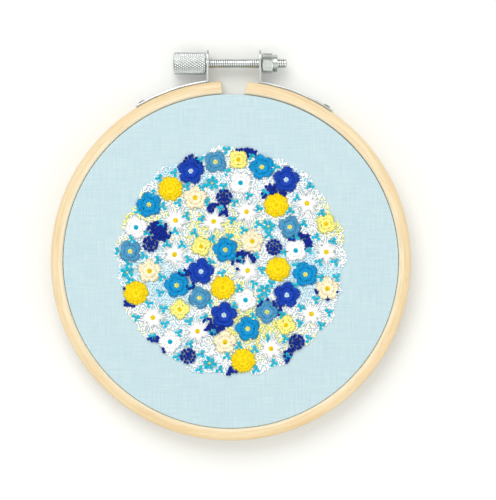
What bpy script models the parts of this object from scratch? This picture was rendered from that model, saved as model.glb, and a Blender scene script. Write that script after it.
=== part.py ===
"""Hoop embroidery art: a pale blue cloth with a stitched posy, held in a split bamboo hoop.

Metres, +Z up. The hoop lies on its back, face up, on Z = 0. X runs along the tightening screw
and Y from the hoop's middle to the screw. The origin is the middle of the whole footprint.
"""

import math

import bmesh
import bpy
from mathutils import Matrix, Vector
from mathutils.geometry import delaunay_2d_cdt

MM = 0.001
TURN = 2 * math.pi
CLEARANCE = 0.3 * MM
CIRCLE_STEPS = 96
WELD = 1e-6
SMOOTH_BELOW = math.radians(35)

# The two bamboo rings
HOOP_RADIUS = 54.0 * MM
RING_WALL = 3.6 * MM
RING_DEPTH = 8.5 * MM
RING_EDGE = 0.9 * MM
OUTER_EDGE_STEPS = 2
INNER_EDGE_STEPS = 1
GAP_LEFT_X = -2.7 * MM
GAP_RIGHT_X = 4.6 * MM
GAP_RIGHT_SLANT = 1.2 * MM

# The cloth between them
CLOTH_THICKNESS = 1.0 * MM
CLOTH_BELOW_RING = 0.3 * MM
CLOTH_SHOULDER = 1.3 * MM
SHOULDER_STEPS = 3
CLOTH_TRIM = 0.5 * MM
STITCH_SMOOTH_BELOW = math.radians(60)

# The screw, its nut and the two brackets
SCREW_RISE = 59.4 * MM
ROD_RADIUS = 1.5 * MM
KNOB_RADIUS = 3.35 * MM
KNOB_LENGTH = 9.7 * MM
KNOB_SIDES = 32
BORE_SIDES = 24
CHAMFER = 0.3 * MM
ROD_END_X = 16.8 * MM
HOLE_RADIUS = ROD_RADIUS + CLEARANCE
PLATE_THICKNESS = 0.6 * MM
PLATE_LEFT_X = -6.9 * MM
PLATE_RIGHT_X = 8.8 * MM
PLATE_ABOVE_SCREW = 4.0 * MM
PLATE_CORNER = 2.6 * MM
PLATE_CORNER_STEPS = 4
STRAP_WIDTH = 7.0 * MM
STRAP_STEPS = 12
STRAP_END_LEFT = math.radians(31.5)
STRAP_END_RIGHT = math.radians(34.0)
NUT_ACROSS_FLATS = 5.5 * MM
NUT_LENGTH = 3.2 * MM
NUT_TURN = math.radians(7)
COLLAR_RADIUS = 2.65 * MM
COLLAR_LENGTH = 1.5 * MM
BRAD_HEAD_RADIUS = 1.2 * MM
BRAD_HEAD_THICKNESS = 0.45 * MM
BRAD_SHANK_RADIUS = 0.55 * MM
BRAD_SHANK_LENGTH = 3.0 * MM
BRAD_SIDES = 12
BRAD_FROM_STRAP_END = math.radians(2.2)

# The stitched posy: raised motifs packed on a low round field. A motif's outline has the given
# points to a petal, its waist is the dip between two petals as a share of its reach, and its
# middle is as high as the given share of its rise. Reach and rise are in millimetres.
FIELD_RADIUS = 34.5 * MM
FIELD_RISE = 0.4 * MM
FIELD_SLOPE = 0.7 * MM
MOTIF_COUNT = 58
MOTIF_GAP = 0.35 * MM
PACKING_ROUNDS = 200
GOLDEN_ANGLE = math.radians(137.508)
CREST_SHARE = 0.8
MOTIFS = {
    "white_star": {"reach": 5.0, "rise": 0.7, "petals": 6, "points": 2, "waist": 0.38, "middle": 1.2},
    "cobalt_blossom": {"reach": 4.1, "rise": 0.8, "petals": 5, "points": 3, "waist": 0.6, "middle": 0.5},
    "cerulean_blossom": {"reach": 3.9, "rise": 0.8, "petals": 5, "points": 3, "waist": 0.6, "middle": 0.5},
    "cream_blossom": {"reach": 3.7, "rise": 0.8, "petals": 5, "points": 3, "waist": 0.6, "middle": 0.5},
    "turquoise_primrose": {"reach": 3.6, "rise": 0.7, "petals": 4, "points": 3, "waist": 0.55, "middle": 0.5},
    "steel_primrose": {"reach": 3.5, "rise": 0.7, "petals": 4, "points": 3, "waist": 0.55, "middle": 0.5},
    "lemon_primrose": {"reach": 3.1, "rise": 0.7, "petals": 4, "points": 3, "waist": 0.55, "middle": 0.5},
    "golden_marigold": {"reach": 3.8, "rise": 0.9, "petals": 8, "points": 2, "waist": 0.85, "middle": 1.1},
    "navy_berries": {"reach": 2.6, "rise": 0.8, "petals": 6, "points": 2, "waist": 0.75, "middle": 1.1},
    "turquoise_sprig": {"reach": 2.6, "rise": 0.5, "petals": 3, "points": 2, "waist": 0.3, "middle": 0.8},
}
MOTIF_ORDER = (
    "white_star",
    "cerulean_blossom",
    "golden_marigold",
    "cream_blossom",
    "cobalt_blossom",
    "turquoise_sprig",
    "white_star",
    "steel_primrose",
    "navy_berries",
    "lemon_primrose",
    "turquoise_primrose",
)

# Sizes that follow from those above
RING_INSIDE = HOOP_RADIUS - RING_WALL
CLOTH_RADIUS = RING_INSIDE - CLEARANCE
CLOTH_INSIDE = CLOTH_RADIUS - CLOTH_THICKNESS
CLOTH_TOP = RING_DEPTH - CLOTH_BELOW_RING
CLOTH_UNDER = CLOTH_TOP - CLOTH_THICKNESS
INNER_RING_RADIUS = CLOTH_INSIDE - CLEARANCE
INNER_RING_DEPTH = CLOTH_UNDER - CLEARANCE
SCREW_HEIGHT = RING_DEPTH / 2
PLATE_TOP = SCREW_RISE + PLATE_ABOVE_SCREW
STRAP_INSIDE = HOOP_RADIUS + CLEARANCE
STRAP_OUTSIDE = STRAP_INSIDE + PLATE_THICKNESS
PLATE_FACE = PLATE_THICKNESS / 2 + CLEARANCE
HOOP_CENTRE_Y = (HOOP_RADIUS - PLATE_TOP) / 2


def clear_scene():
    for thing in list(bpy.data.objects):
        bpy.data.objects.remove(thing)


def finish(name, colour, roughness, metallic):
    """A plain Principled finish of one colour."""
    material = bpy.data.materials.new(name)
    material.use_nodes = True
    shader = material.node_tree.nodes["Principled BSDF"]
    shader.inputs["Base Color"].default_value = (*colour, 1)
    shader.inputs["Roughness"].default_value = roughness
    shader.inputs["Metallic"].default_value = metallic
    return material


def solid(name, shape, parent, material, smooth_below=SMOOTH_BELOW):
    """An object made of the bmesh, with its faces out and its round sides shaded smooth."""
    bmesh.ops.recalc_face_normals(shape, faces=shape.faces)
    mesh = bpy.data.meshes.new(name)
    shape.to_mesh(mesh)
    shape.free()
    mesh.shade_smooth()
    mesh.set_sharp_from_angle(angle=smooth_below)
    mesh.materials.append(material)
    made = bpy.data.objects.new(name, mesh)
    made.parent = parent
    bpy.context.scene.collection.objects.link(made)
    return made


def boolean(target, other, operation):
    """Cuts, joins or crosses the target with another object, which stays as a hidden helper."""
    other.hide_render = True
    other.display_type = "WIRE"
    modifier = target.modifiers.new(other.name, "BOOLEAN")
    modifier.operation = operation
    modifier.solver = "EXACT"
    modifier.object = other


def around(radius, turn, height=0.0):
    """The point at a clockwise turn from +Y about the hoop's axis."""
    return Vector((radius * math.sin(turn), radius * math.cos(turn), height))


def arc(centre, radius, start, end, steps):
    """Points of a plane arc, its angles measured from the first axis."""
    return [
        (
            centre[0] + radius * math.cos(start + (end - start) * i / steps),
            centre[1] + radius * math.sin(start + (end - start) * i / steps),
        )
        for i in range(steps + 1)
    ]


def spun(profile, axis, closed, steps=CIRCLE_STEPS):
    """A bmesh of (along or out, out or up) points spun once about X or Z."""
    shape = bmesh.new()
    place = (lambda a, b: (a, b, 0)) if axis == "X" else (lambda a, b: (0, a, b))
    points = [shape.verts.new(place(a, b)) for a, b in profile]
    ends = zip(points, points[1:] + points[:1]) if closed else zip(points, points[1:])
    lines = [shape.edges.new(pair) for pair in ends]
    bmesh.ops.spin(
        shape,
        geom=points + lines,
        cent=(0, 0, 0),
        axis=(1, 0, 0) if axis == "X" else (0, 0, -1),
        angle=TURN,
        steps=steps,
        use_merge=True,
    )
    bmesh.ops.remove_doubles(shape, verts=shape.verts, dist=WELD)
    return shape


def prism(outline, low, high):
    """A bmesh of a plane outline in X and Y, extruded from one height to another."""
    shape = bmesh.new()
    face = shape.faces.new([shape.verts.new((x, y, low)) for x, y in outline])
    grown = bmesh.ops.extrude_face_region(shape, geom=[face])["geom"]
    raised = [g for g in grown if isinstance(g, bmesh.types.BMVert)]
    bmesh.ops.translate(shape, verts=raised, vec=(0, 0, high - low))
    bmesh.ops.contextual_create(shape, geom=[e for e in shape.edges if e.is_boundary])
    return shape


def rod_shape(radius, start, end, sides):
    """A bmesh of a plain cylinder along X."""
    return spun([(start, 0), (start, radius), (end, radius), (end, 0)], "X", False, sides)


def ring_section(inside, outside, depth, edge, corner_steps):
    """A rounded rectangle of (radius, height) points."""
    corners = (
        (outside - edge, edge, -90),
        (outside - edge, depth - edge, 0),
        (inside + edge, depth - edge, 90),
        (inside + edge, edge, 180),
    )
    section = []
    for radius, height, start in corners:
        first = math.radians(start)
        section += arc((radius, height), edge, first, first + TURN / 4, corner_steps)
    return section


def outer_ring(parent, bamboo, hole_turns):
    """The split ring: a gap with one slanted end, and a blind hole for each brad."""
    section = ring_section(RING_INSIDE, HOOP_RADIUS, RING_DEPTH, RING_EDGE, OUTER_EDGE_STEPS)
    ring = solid("outer_ring", spun(section, "Z", True), parent, bamboo)
    low, high = RING_INSIDE - RING_WALL, HOOP_RADIUS + RING_WALL
    slant = GAP_RIGHT_SLANT * (high - low) / RING_WALL / 2
    outline = (
        (GAP_LEFT_X, low),
        (GAP_RIGHT_X - slant, low),
        (GAP_RIGHT_X + slant, high),
        (GAP_LEFT_X, high),
    )
    gap = solid("gap_cutter", prism(outline, -RING_WALL, RING_DEPTH + RING_WALL), parent, bamboo)
    boolean(ring, gap, "DIFFERENCE")
    for turn in hole_turns:
        boolean(ring, brad_hole("ring_hole", turn, parent, bamboo), "DIFFERENCE")
    return ring


def inner_ring(parent, bamboo):
    inside = INNER_RING_RADIUS - RING_WALL
    depth = INNER_RING_DEPTH
    section = ring_section(inside, INNER_RING_RADIUS, depth, RING_EDGE, INNER_EDGE_STEPS)
    return solid("inner_ring", spun(section, "Z", True), parent, bamboo)


def sunflower_places():
    """Each motif with its place and turn: a sunflower spiral, then pushed apart until clear."""
    motifs = [MOTIFS[MOTIF_ORDER[n % len(MOTIF_ORDER)]] for n in range(MOTIF_COUNT)]
    reaches = [motif["reach"] * MM for motif in motifs]
    pitch = FIELD_RADIUS / math.sqrt(MOTIF_COUNT)
    spots = [
        pitch * math.sqrt(n + 0.5) * Vector((math.cos(n * GOLDEN_ANGLE), math.sin(n * GOLDEN_ANGLE)))
        for n in range(MOTIF_COUNT)
    ]
    for _ in range(PACKING_ROUNDS):
        for i in range(MOTIF_COUNT):
            for j in range(i):
                apart = spots[i] - spots[j]
                lack = reaches[i] + reaches[j] + MOTIF_GAP - apart.length
                if lack > 0:
                    push = apart.normalized() * lack / 2
                    spots[i] += push
                    spots[j] -= push
        for i, reach in enumerate(reaches):
            limit = FIELD_RADIUS - FIELD_SLOPE - reach
            if spots[i].length > limit:
                spots[i] = spots[i].normalized() * limit
    return zip(motifs, spots, (n * GOLDEN_ANGLE for n in range(MOTIF_COUNT)))


def petal_outline(motif, turn, share):
    """Points round a motif: at each dip between petals its waist, and at all others its reach."""
    count = motif["petals"] * motif["points"]
    points = []
    for i in range(count):
        reach = share * motif["reach"] * MM
        if i % motif["points"] == 0:
            reach *= motif["waist"]
        angle = turn + TURN * i / count
        points.append(reach * Vector((math.cos(angle), math.sin(angle))))
    return points


def cloth_face_points():
    """The face's points in the plane, their heights above the cloth, and the loops to keep."""
    points, heights, loops = [], [], []

    def add_loop(places, height):
        first = len(points)
        points.extend(places)
        heights.extend([height] * len(places))
        count = len(places)
        loops.extend((first + i, first + (i + 1) % count) for i in range(count))

    rims = (
        (CLOTH_RADIUS - CLOTH_SHOULDER, 0.0, CIRCLE_STEPS),
        (FIELD_RADIUS, 0.0, CIRCLE_STEPS // 2),
        (FIELD_RADIUS - FIELD_SLOPE, FIELD_RISE, CIRCLE_STEPS // 2),
    )
    for radius, height, steps in rims:
        add_loop([around(radius, TURN * i / steps).xy for i in range(steps)], height)
    for motif, spot, turn in sunflower_places():
        rise = motif["rise"] * MM
        add_loop([spot + p for p in petal_outline(motif, turn, 1.0)], FIELD_RISE)
        add_loop([spot + p for p in petal_outline(motif, turn, CREST_SHARE)], FIELD_RISE + rise)
        points.append(spot)
        heights.append(FIELD_RISE + rise * motif["middle"])
    return points, heights, loops


def cloth(parent, cotton):
    """One sheet: the face with the posy raised in it, the shoulder and the turned-down side."""
    shoulder_inside = CLOTH_SHOULDER - CLOTH_THICKNESS
    outer_bend = (CLOTH_RADIUS - CLOTH_SHOULDER, CLOTH_TOP - CLOTH_SHOULDER)
    inner_bend = (CLOTH_INSIDE - shoulder_inside, CLOTH_UNDER - shoulder_inside)
    profile = (
        arc(outer_bend, CLOTH_SHOULDER, TURN / 4, 0, SHOULDER_STEPS)
        + [(CLOTH_RADIUS, CLOTH_TRIM), (CLOTH_INSIDE, CLOTH_TRIM)]
        + arc(inner_bend, shoulder_inside, 0, TURN / 4, 1)
    )
    shape = spun(profile, "Z", False)
    underside = [e for e in shape.edges if e.is_boundary and e.verts[0].co.z < CLOTH_TOP - MM / 2]
    bmesh.ops.contextual_create(shape, geom=underside)
    points, heights, loops = cloth_face_points()
    flat, _, triangles, sources, _, _ = delaunay_2d_cdt([p / MM for p in points], loops, [], 0, WELD / MM)
    corners = []
    for place, source in zip(flat, sources):
        height = max((heights[s] for s in source), default=FIELD_RISE)
        corners.append(shape.verts.new((place.x * MM, place.y * MM, CLOTH_TOP + height)))
    for triangle in triangles:
        shape.faces.new([corners[i] for i in triangle])
    bmesh.ops.remove_doubles(shape, verts=shape.verts, dist=WELD)
    return solid("cloth", shape, parent, cotton, STITCH_SMOOTH_BELOW)


def on_screw_axis(made):
    made.location = (0, SCREW_RISE, SCREW_HEIGHT)
    return made


def screw(parent, nickel):
    """Knob and rod in one, its origin on its own axis."""
    knob_end = PLATE_LEFT_X - PLATE_FACE
    knob_start = knob_end - KNOB_LENGTH
    profile = [
        (knob_start, 0),
        (knob_start, KNOB_RADIUS - CHAMFER),
        (knob_start + CHAMFER, KNOB_RADIUS),
        (knob_end - CHAMFER, KNOB_RADIUS),
        (knob_end, KNOB_RADIUS - CHAMFER),
        (knob_end, ROD_RADIUS),
        (ROD_END_X - CHAMFER, ROD_RADIUS),
        (ROD_END_X, ROD_RADIUS - CHAMFER),
        (ROD_END_X, 0),
    ]
    return on_screw_axis(solid("screw", spun(profile, "X", False, KNOB_SIDES), parent, nickel))


def nut(parent, nickel):
    """A chamfered hexagon with a round collar, bored clear of the rod."""
    start = PLATE_RIGHT_X + PLATE_FACE
    middle = start + NUT_LENGTH
    end = middle + COLLAR_LENGTH
    corner = NUT_ACROSS_FLATS / math.sqrt(3)
    sides = rod_shape(corner, start, middle, 6)
    bmesh.ops.rotate(sides, verts=sides.verts, matrix=Matrix.Rotation(NUT_TURN, 3, "X"))
    made = on_screw_axis(solid("nut", sides, parent, nickel))
    lathe = [
        (start, 0),
        (start, corner - 2 * CHAMFER),
        (start + CHAMFER, corner),
        (middle - CHAMFER, corner),
        (middle, corner - 2 * CHAMFER),
        (middle, 0),
    ]
    steps = (
        ("nut_chamfer", spun(lathe, "X", False, BORE_SIDES), "INTERSECT"),
        ("nut_collar", rod_shape(COLLAR_RADIUS, middle - CHAMFER, end, BORE_SIDES), "UNION"),
        ("nut_bore", rod_shape(HOLE_RADIUS, start - MM, end + MM, BORE_SIDES), "DIFFERENCE"),
    )
    for name, shape, operation in steps:
        boolean(made, on_screw_axis(solid(name, shape, parent, nickel)), operation)
    return made


def bracket(name, parent, nickel, plate_x, strap_end):
    """A strip bent from the screw's plate into a strap along the outer ring."""
    side = math.copysign(1, plate_x)
    near, far = plate_x - side * PLATE_THICKNESS / 2, plate_x + side * PLATE_THICKNESS / 2
    inside = turns_between(math.asin(near / STRAP_INSIDE), side * strap_end)
    outside = turns_between(side * strap_end, math.asin(far / STRAP_OUTSIDE))
    outline = (
        [(near, PLATE_TOP)]
        + [tuple(around(STRAP_INSIDE, turn).xy) for turn in inside]
        + [tuple(around(STRAP_OUTSIDE, turn).xy) for turn in outside]
        + [(far, PLATE_TOP)]
    )
    low = SCREW_HEIGHT - STRAP_WIDTH / 2
    shape = prism(outline, low, low + STRAP_WIDTH)
    top = [e for e in shape.edges if all(v.co.y > PLATE_TOP - WELD for v in e.verts)]
    across = [e for e in top if abs(e.verts[0].co.z - e.verts[1].co.z) < WELD]
    bmesh.ops.bevel(
        shape,
        geom=across,
        offset=PLATE_CORNER,
        segments=PLATE_CORNER_STEPS,
        profile=0.5,
        affect="EDGES",
    )
    made = solid(name, shape, parent, nickel)
    hole = rod_shape(HOLE_RADIUS, plate_x - MM, plate_x + MM, BORE_SIDES)
    boolean(made, on_screw_axis(solid(name + "_hole", hole, parent, nickel)), "DIFFERENCE")
    turn = side * (strap_end - BRAD_FROM_STRAP_END)
    boolean(made, brad_hole(name + "_brad_hole", turn, parent, nickel), "DIFFERENCE")
    return made


def turns_between(start, end):
    """Evenly spaced turns along a strap, both ends among them."""
    return [start + (end - start) * i / STRAP_STEPS for i in range(STRAP_STEPS + 1)]


def brad_hole(name, turn, parent, material):
    """A cutter that stands out of the hoop at the turn, clear of the brad's shank all round."""
    end = STRAP_OUTSIDE + MM
    start = HOOP_RADIUS - BRAD_SHANK_LENGTH
    shape = rod_shape(BRAD_SHANK_RADIUS + CLEARANCE, start, end, BRAD_SIDES)
    return stood_out(solid(name, shape, parent, material), turn)


def stood_out(made, turn):
    """Turns a piece made along X so that it stands out of the hoop's side."""
    made.location = (0, 0, SCREW_HEIGHT)
    made.rotation_euler = (0, 0, TURN / 4 - turn)
    return made


def brad(name, parent, nickel, turn):
    """A flat-headed brad through the strap into the ring, its head on the strap."""
    seat = STRAP_OUTSIDE + CLEARANCE
    point = HOOP_RADIUS - BRAD_SHANK_LENGTH + CLEARANCE
    profile = [
        (point, 0),
        (point + BRAD_SHANK_RADIUS, BRAD_SHANK_RADIUS),
        (seat, BRAD_SHANK_RADIUS),
        (seat, BRAD_HEAD_RADIUS),
        (seat + BRAD_HEAD_THICKNESS / 2, BRAD_HEAD_RADIUS),
        (seat + BRAD_HEAD_THICKNESS, BRAD_HEAD_RADIUS / 2),
        (seat + BRAD_HEAD_THICKNESS, 0),
    ]
    return stood_out(solid(name, spun(profile, "X", False, BRAD_SIDES), parent, nickel), turn)


def main():
    clear_scene()
    hoop = bpy.data.objects.new("hoop_middle", None)
    hoop.location = (0, HOOP_CENTRE_Y, 0)
    bpy.context.scene.collection.objects.link(hoop)
    bamboo = finish("bamboo", (0.89, 0.71, 0.44), 0.5, 0.0)
    cotton = finish("cotton", (0.63, 0.80, 0.84), 0.9, 0.0)
    nickel = finish("nickel", (0.72, 0.73, 0.73), 0.28, 1.0)
    left_turn = BRAD_FROM_STRAP_END - STRAP_END_LEFT
    right_turn = STRAP_END_RIGHT - BRAD_FROM_STRAP_END
    outer_ring(hoop, bamboo, (left_turn, right_turn))
    inner_ring(hoop, bamboo)
    cloth(hoop, cotton)
    bracket("bracket_left", hoop, nickel, PLATE_LEFT_X, STRAP_END_LEFT)
    bracket("bracket_right", hoop, nickel, PLATE_RIGHT_X, STRAP_END_RIGHT)
    brad("brad_left", hoop, nickel, left_turn)
    brad("brad_right", hoop, nickel, right_turn)
    screw(hoop, nickel)
    nut(hoop, nickel)


main()
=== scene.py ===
"""The looks of a hoop embroidery: split bamboo rings, pale blue cotton, a stitched posy, metal."""

import math
import random
from collections import namedtuple

import bmesh
import bpy
import numpy as np
from mathutils import Matrix, Vector


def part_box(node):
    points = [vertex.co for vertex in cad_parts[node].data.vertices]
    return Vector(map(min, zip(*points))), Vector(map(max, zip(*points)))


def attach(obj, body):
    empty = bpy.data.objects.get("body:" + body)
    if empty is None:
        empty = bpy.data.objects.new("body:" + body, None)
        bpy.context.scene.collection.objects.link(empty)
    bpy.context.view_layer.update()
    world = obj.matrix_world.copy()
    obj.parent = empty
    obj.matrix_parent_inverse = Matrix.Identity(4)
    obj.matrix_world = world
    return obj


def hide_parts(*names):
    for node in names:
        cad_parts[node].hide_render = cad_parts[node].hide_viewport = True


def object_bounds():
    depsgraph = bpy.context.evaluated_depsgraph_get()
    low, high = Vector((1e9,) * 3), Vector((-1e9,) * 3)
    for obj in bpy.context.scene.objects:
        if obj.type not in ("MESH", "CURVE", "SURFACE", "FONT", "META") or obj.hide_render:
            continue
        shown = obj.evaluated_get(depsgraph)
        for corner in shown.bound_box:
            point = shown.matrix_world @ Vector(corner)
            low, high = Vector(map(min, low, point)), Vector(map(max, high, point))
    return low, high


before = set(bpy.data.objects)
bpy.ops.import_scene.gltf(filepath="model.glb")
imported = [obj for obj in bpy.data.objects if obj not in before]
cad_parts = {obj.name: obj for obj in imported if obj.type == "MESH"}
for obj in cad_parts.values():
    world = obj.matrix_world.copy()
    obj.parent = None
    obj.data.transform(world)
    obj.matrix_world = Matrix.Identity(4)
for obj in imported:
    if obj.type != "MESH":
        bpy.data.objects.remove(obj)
cad_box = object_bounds()

MM = 0.001
TURN = 2 * math.pi
TOUCH = 0.001 * MM
BEVEL_STEPS = 2

# Sizes read from the frame
ring_low, ring_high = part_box("outer_ring")
inner_low, inner_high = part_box("inner_ring")
cloth_low, cloth_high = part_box("cloth")
screw_low, screw_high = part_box("screw")
nut_low, nut_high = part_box("nut")
HOOP_RADIUS = (ring_high.x - ring_low.x) / 2
HOOP_MIDDLE = Vector((0, ring_low.y + HOOP_RADIUS, 0))
RING_DEPTH = ring_high.z
INNER_RADIUS = (inner_high.x - inner_low.x) / 2
INNER_DEPTH = inner_high.z
CLOTH_RADIUS = (cloth_high.x - cloth_low.x) / 2
SCREW_AXIS = Vector((0, (screw_low.y + screw_high.y) / 2, (screw_low.z + screw_high.z) / 2))
KNOB_RADIUS = (screw_high.z - screw_low.z) / 2

# The rings
RING_WALL = 3.6 * MM
RING_OUTER_EDGE = 0.9 * MM
RING_INNER_EDGE = 0.18 * MM
RING_STEPS = 288
EDGE_STEPS = 5
END_BEVEL = 0.22 * MM
GAP_LEFT_X = -2.7 * MM
GAP_RIGHT_X = 4.6 * MM
GAP_SLANT = 0.44 * MM
SLANT_REACH = 6 * MM
RING_MIDDLE = HOOP_RADIUS - RING_WALL / 2

# The cloth
CLOTH_TOP = RING_DEPTH - 0.3 * MM
CLOTH_SHOULDER = 0.3 * MM
CLOTH_THICKNESS = 0.45 * MM
CLOTH_SWELL = 0.2 * MM
CLOTH_SWELL_POWER = 8
RING_LOOSE_AT = math.radians(15)
RING_LOOSE_REACH = math.radians(40)
CLOTH_TRIM = 0.6 * MM
CLOTH_TRIM_RAGGED = 0.25 * MM
CLOTH_AROUND = 240
CLOTH_OUT = 64
CLOTH_BEND_STEPS = 8
CLOTH_SIDE_STEPS = 8
WEAVE_PITCH = 0.36 * MM
PUCKER = 0.05 * MM
PUCKER_REACH = 6 * MM
PUCKER_WAVES = ((11, 0.6), (17, 2.1), (29, 4.0))

# The screw, nut and brackets
KNOB_LENGTH = 9.7 * MM
KNOB_CHAMFER = 0.35 * MM
KNOB_CREST = 1.35
KNOB_STEPS = 112
STEPS_A_RIDGE = 8
ROD_RADIUS = 1.5 * MM
ROD_CHAMFER = 0.4 * MM
ROD_CREST = 1.9
ROD_IN_KNOB = 1 * MM
THREAD_PITCH = 0.67 * MM
THREAD_DEPTH = 0.36 * MM
STEPS_A_THREAD = 7
ROD_AROUND = 28
KNURL_DEPTH = 0.3 * MM
KNURL_PITCH = 1.15 * MM
KNURL_STARTS = 26
CROSSING_DEPTH = 0.55
NUT_LENGTH = 3.2 * MM
NUT_FLAT = 5.5 * MM / 2
NUT_CHAMFER = 0.32 * MM
NUT_FACE_SHARE = 0.98
NUT_CORNER_SPARE = 0.05 * MM
NUT_BEVEL = 0.06 * MM
NUT_TURN = math.radians(16)
NUT_AROUND = 96
NUT_BORE = ROD_RADIUS + 0.08 * MM
COLLAR_RADIUS = 2.65 * MM
COLLAR_STEP = 0.2 * MM
COLLAR_OVERLAP = 0.02 * MM
COLLAR_ROUND = ((0.25 * MM, 0.0), (0.05 * MM, 0.22 * MM), (0.0, 0.6 * MM))
COLLAR_DISH = 0.15 * MM
COLLAR_AROUND = 64
PLATE_THICKNESS = 0.6 * MM
SIGN = {"left": -1, "right": 1}
PLATE_X = {"left": -6.9 * MM, "right": 8.8 * MM}
PLATE_TOP = cad_box[1].y - HOOP_MIDDLE.y
PLATE_CORNER = 2.6 * MM
PLATE_HOLE = 1.8 * MM
PLATE_HOLE_STEPS = 40
STRIP_BEVEL = 0.09 * MM
STRIP_STEPS = 40
PLATE_CORNER_STEPS = 10
STRAP_WIDTH = 7.0 * MM
STRAP_INSIDE = HOOP_RADIUS + 0.1 * MM
STRAP_OUTSIDE = HOOP_RADIUS + 0.9 * MM
STRAP_FACE = STRAP_OUTSIDE - 0.2 * MM
STRAP_END = {"left": math.radians(-31.5), "right": math.radians(34.0)}
BRAD_FROM_END = math.radians(2.2)
BRAD_SEAT = STRAP_FACE - 0.02 * MM
BRAD_RADIUS = 1.2 * MM
BRAD_SHANK = 1.5 * MM
BRAD_SHANK_RADIUS = 0.54 * MM
BRAD_DOME = 0.5 * MM
BRAD_STEPS = 8
BRAD_AROUND = 32

# The posy's layout, the same as the solids' raised motifs
FIELD_RADIUS = 34.5 * MM
FIELD_SLOPE = 0.7 * MM
MOTIF_COUNT = 58
MOTIF_GAP = 0.35 * MM
PACKING_ROUNDS = 200
GOLDEN_ANGLE = math.radians(137.508)

# Each motif: its reach in mm, its petals, its narrowest reach as a share of the widest,
# the colours of its petals and its heart, and its form
Motif = namedtuple("Motif", "reach petals waist colour heart form")
MOTIFS = {
    "white_star": Motif(5.0, 6, 0.38, "white", "gold", "star"),
    "cobalt_blossom": Motif(4.1, 5, 0.6, "cobalt", "sky", "blossom"),
    "cerulean_blossom": Motif(3.9, 5, 0.6, "cerulean", "lemon", "blossom"),
    "cream_blossom": Motif(3.7, 5, 0.6, "cream", "gold", "blossom"),
    "white_primrose": Motif(3.6, 4, 0.55, "white", "turquoise", "blossom"),
    "steel_primrose": Motif(3.5, 4, 0.55, "steel", "lemon", "blossom"),
    "lemon_primrose": Motif(3.1, 4, 0.55, "lemon", "gold", "blossom"),
    "golden_marigold": Motif(3.8, 8, 0.85, "gold", "gold", "marigold"),
    "navy_berries": Motif(2.6, 6, 0.75, "navy", "navy", "berries"),
    "turquoise_sprig": Motif(2.6, 3, 0.3, "turquoise", "lemon", "sprig"),
}
POINTED_WAIST = 0.5
MOTIF_ORDER = (
    "white_star cerulean_blossom golden_marigold cream_blossom cobalt_blossom turquoise_sprig "
    "white_star steel_primrose navy_berries lemon_primrose white_primrose"
).split()

# Rings of straight stitches: how many for each mm of reach, where they start and stop as shares
# of the reach, the heights of their outer and inner ends, their lift and their radius in mm.
# None starts past a limit, a share of where it stops
START_LIMIT = 0.7
Tier = namedtuple("Tier", "per_mm inner outer low high lift thick")
TIERS = {
    "star": (Tier(8.4, 0.12, 1.0, 0.12, 0.45, 0.5, 0.17),),
    "blossom": (
        Tier(11.5, 0.55, 1.0, 0.15, 0.4, 0.6, 0.225),
        Tier(6.8, 0.18, 0.68, 0.5, 0.5, 0.45, 0.225),
    ),
    "marigold": (
        Tier(11.6, 0.6, 1.0, 0.15, 0.35, 0.4, 0.225),
        Tier(8.95, 0.36, 0.78, 0.5, 0.7, 0.4, 0.225),
        Tier(5.8, 0.12, 0.52, 0.8, 1.0, 0.4, 0.225),
    ),
}

# Hearts of knots: rings about the middle knot, then spacing, height and knot size in mm.
# They fall toward the edge by a share of the height
HEART_FALL = 0.35
Heart = namedtuple("Heart", "rings spacing height size")
HEARTS = {
    "star": Heart(1, 0.5, 0.75, 0.75),
    "blossom": Heart(1, 0.52, 0.85, 0.72),
    "marigold": Heart(1, 0.5, 1.1, 0.8),
    "berries": Heart(2, 1.0, 0.5, 1.2),
    "sprig": Heart(0, 0.0, 0.35, 0.8),
}

# Looped leaves: where they start, how long and how wide they are, in mm
Leaf = namedtuple("Leaf", "start length width")
SPRIG_LEAVES = (Leaf(0.45, 1.35, 0.95), Leaf(0.45, 1.75, 0.95))
SPRAY_LEAF = Leaf(0.1, 1.2, 0.7)
SPRAY_TURNS = (-0.95, 0.95, 2.85)
LEAF_HEIGHT = 0.3 * MM
LEAF_POINTS = 9
LEAF_ROUNDNESS = 0.8
LEAF_LOOP_LIFT = 0.15 * MM
LEAF_VEIN_LIFT = 0.3 * MM
LEAF_VEIN_SHARE = 0.9

# How uneven the hand is: the least and the most of what is drawn for each stitch or knot
STITCH_SWAY = (-0.02, 0.02)
STITCH_REACH = (0.96, 1.03)
STITCH_LIFT = (0.85, 1.15)
KNOT_SWAY = (-0.08, 0.08)
KNOT_GROWTH = (0.88, 1.12)

# The ground between the motifs, and the waves in height, count and start of its edge
EDGE_WAVES = ((0.6 * MM, 9, 0), (0.5 * MM, 23, 1))
SEED_PITCH = 0.76 * MM
SEED_ROW = 0.87
SEED_SPARE = 1.2
SEED_JITTER = 0.2 * MM
SEED_HALF = (0.4 * MM, 0.62 * MM)
SEED_LIFT = 0.14 * MM
SEED_HEIGHT = 0.08 * MM
SEED_KNOT_SHARE = 0.5
SEED_KNOT_HEIGHT = 0.1 * MM
SEED_KNOT_SIZE = 0.92 * MM
SEED_MARGIN = 0.4 * MM
SEED_ROOM = 0.1 * MM
BERRY_HEIGHT = 0.3 * MM
BERRY_SIZE = 1.15 * MM
SPRAY_ROOM = 0.9 * MM
SPRAY_APART = 4.5 * MM
SPRAY_MARGIN = 1.5 * MM
SPRAY_CLEAR = 1.1 * MM
NEAR_MOTIF = 11 * MM

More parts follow.
